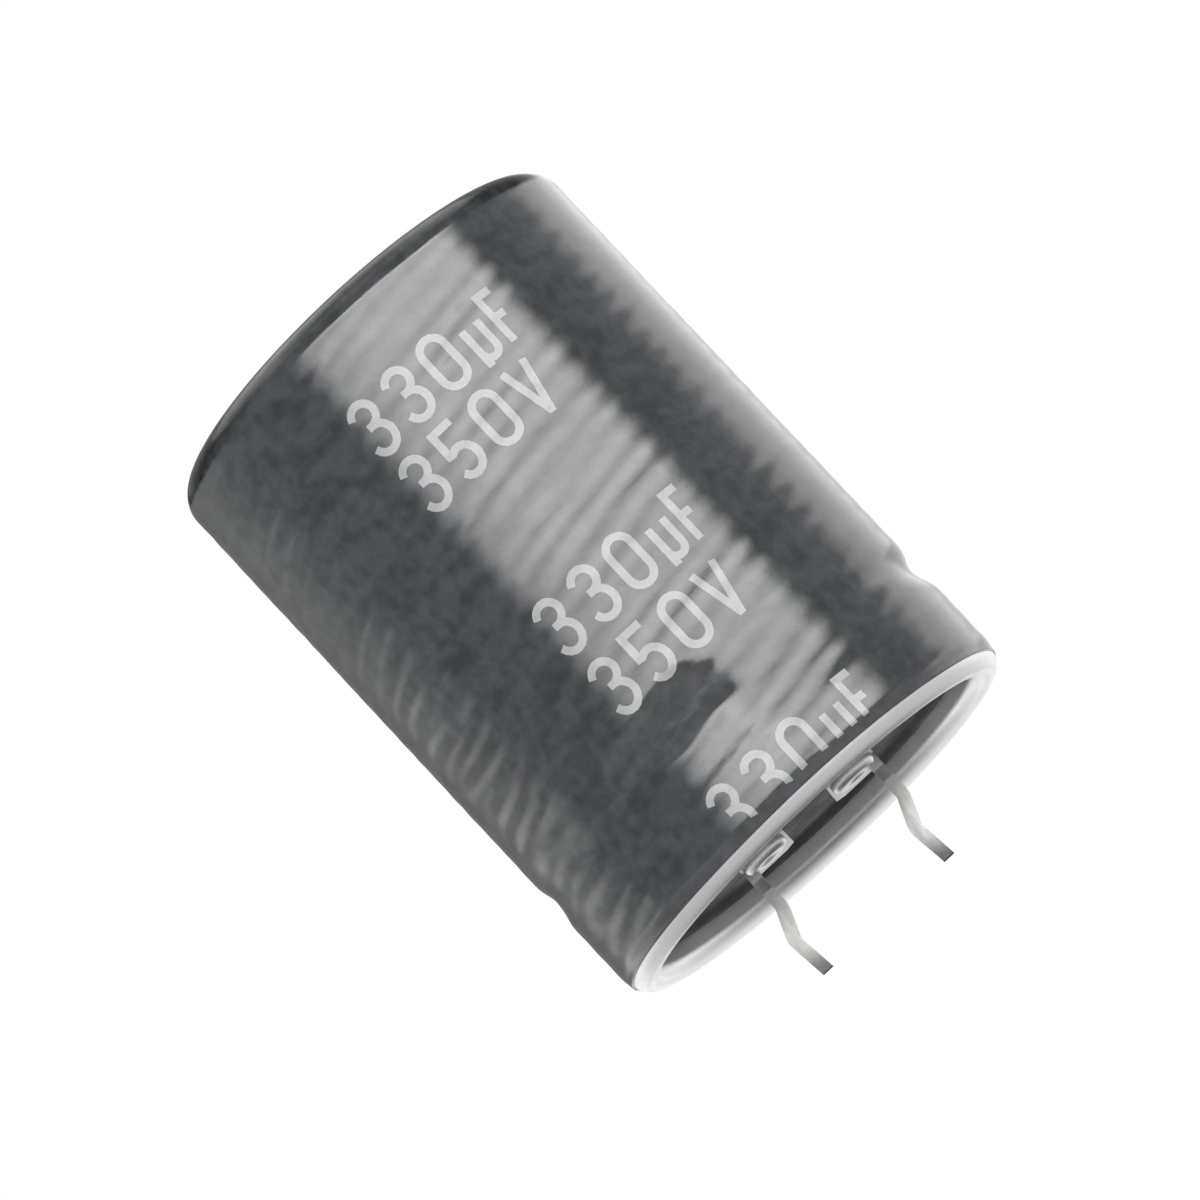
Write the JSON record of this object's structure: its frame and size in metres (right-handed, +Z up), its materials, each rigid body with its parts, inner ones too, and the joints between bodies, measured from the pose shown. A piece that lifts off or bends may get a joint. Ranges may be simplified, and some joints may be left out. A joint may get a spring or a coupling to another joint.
{
  "type": "snap-in aluminium electrolytic capacitor",
  "caption": "Can-shaped electrolytic capacitor in a shrunk dark grey sleeve, with a rolled bead, a curled rim, a recessed rubber seal and kinked flat terminals that snap into a circuit board.",
  "frame": {"origin": "middle of the curled rim, in the plane that sits on the circuit board, midway between the two pins", "axes": "+Z up the can's axis to the closed end; the pins reach down along -Z and stand side by side on X, the negative one on +X and the positive one on -X; the printed text faces -Y"},
  "size_m": [0.0303, 0.0302, 0.0484],
  "materials": {
    "sleeve_plastic": "thin glossy shrunk sleeve in dark charcoal grey, with fine ripples round the can",
    "can_metal": "bare drawn aluminium, bright at the curled rim",
    "seal_rubber": "black moulded rubber, half matt",
    "seal_laminate": "brown laminated board",
    "tin_plate": "tin-plated steel strip, soft satin",
    "rivet_metal": "upset aluminium, satin",
    "tab_foil": "rolled foil strip",
    "foil_and_paper": "wound foil and separator paper, soaked in electrolyte",
    "closing_tape": "thin clear adhesive tape"
  },
  "bodies": {
    "root": {"sleeve": "sleeve_plastic", "can": "can_metal", "seal_rubber": "seal_rubber", "seal_board": "seal_laminate", "terminal_negative": "tin_plate", "terminal_positive": "tin_plate", "rivet_negative": "rivet_metal", "rivet_positive": "rivet_metal", "washer_negative": "rivet_metal", "washer_positive": "rivet_metal", "cathode_tab": "tab_foil", "anode_tab": "tab_foil", "wound_element": "foil_and_paper", "winding_tape": "closing_tape"}
  },
  "joints": []
}
